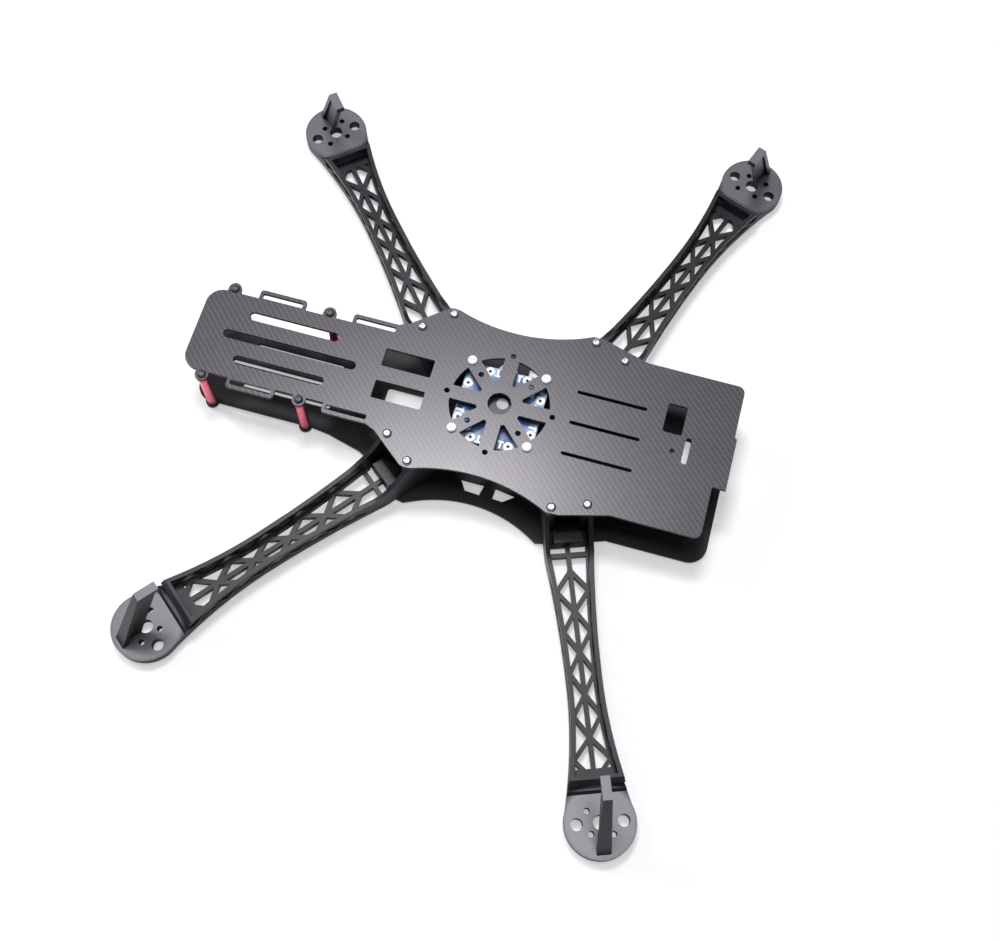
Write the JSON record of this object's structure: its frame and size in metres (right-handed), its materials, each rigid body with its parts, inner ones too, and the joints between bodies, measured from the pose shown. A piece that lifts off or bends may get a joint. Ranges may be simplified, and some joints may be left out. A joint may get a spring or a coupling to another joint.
{
  "type": "multirotor drone frame",
  "caption": "Bare multirotor drone frame: carbon plates clamp slim lattice arms with landing feet and motor pads; blue power board and red standoffs between the plates.",
  "frame": {"origin": "centre of the round hole in the base plate, on that plate's outer face, which is the centre of its controller hole square", "axes": "+X towards the frame's tail, +Y towards the side of the arms named left, +Z out of the base plate towards the landing feet; the frame lies on its back with its feet in the air"},
  "size_m": [0.3255, 0.4614, 0.0567],
  "materials": {
    "carbon": "satin clear resin over a twill carbon weave",
    "board": "glossy blue solder mask on glass laminate",
    "solder_mask_white": "white printed marks and pad rings",
    "white_nylon": "slightly translucent moulded nylon",
    "black_nylon": "glass-filled moulded nylon, fine satin texture",
    "steel": "plain zinc-plated steel",
    "red_anodised": "red anodised, turned",
    "black_steel": "black oxide"
  },
  "bodies": {
    "root": {"base_plate": "carbon", "cover_plate": "carbon", "power_board": "board", "board_pads": "solder_mask_white", "board_marks": "solder_mask_white", "board_spacers": "white_nylon", "board_screws": "white_nylon", "board_nuts": "white_nylon", "arm_front_left": "black_nylon", "arm_front_right": "black_nylon", "arm_rear_left": "black_nylon", "arm_rear_right": "black_nylon", "arm_screws_front_left": "steel", "arm_screws_front_right": "steel", "arm_screws_rear_left": "steel", "arm_screws_rear_right": "steel", "cover_screws_front_left": "steel", "cover_screws_front_right": "steel", "cover_screws_rear_left": "steel", "cover_screws_rear_right": "steel", "standoff_nose_left": "red_anodised", "standoff_nose_right": "red_anodised", "standoff_mid_left": "red_anodised", "standoff_mid_right": "red_anodised", "standoff_base_screws": "black_steel", "standoff_cover_screws": "black_steel"}
  },
  "joints": []
}
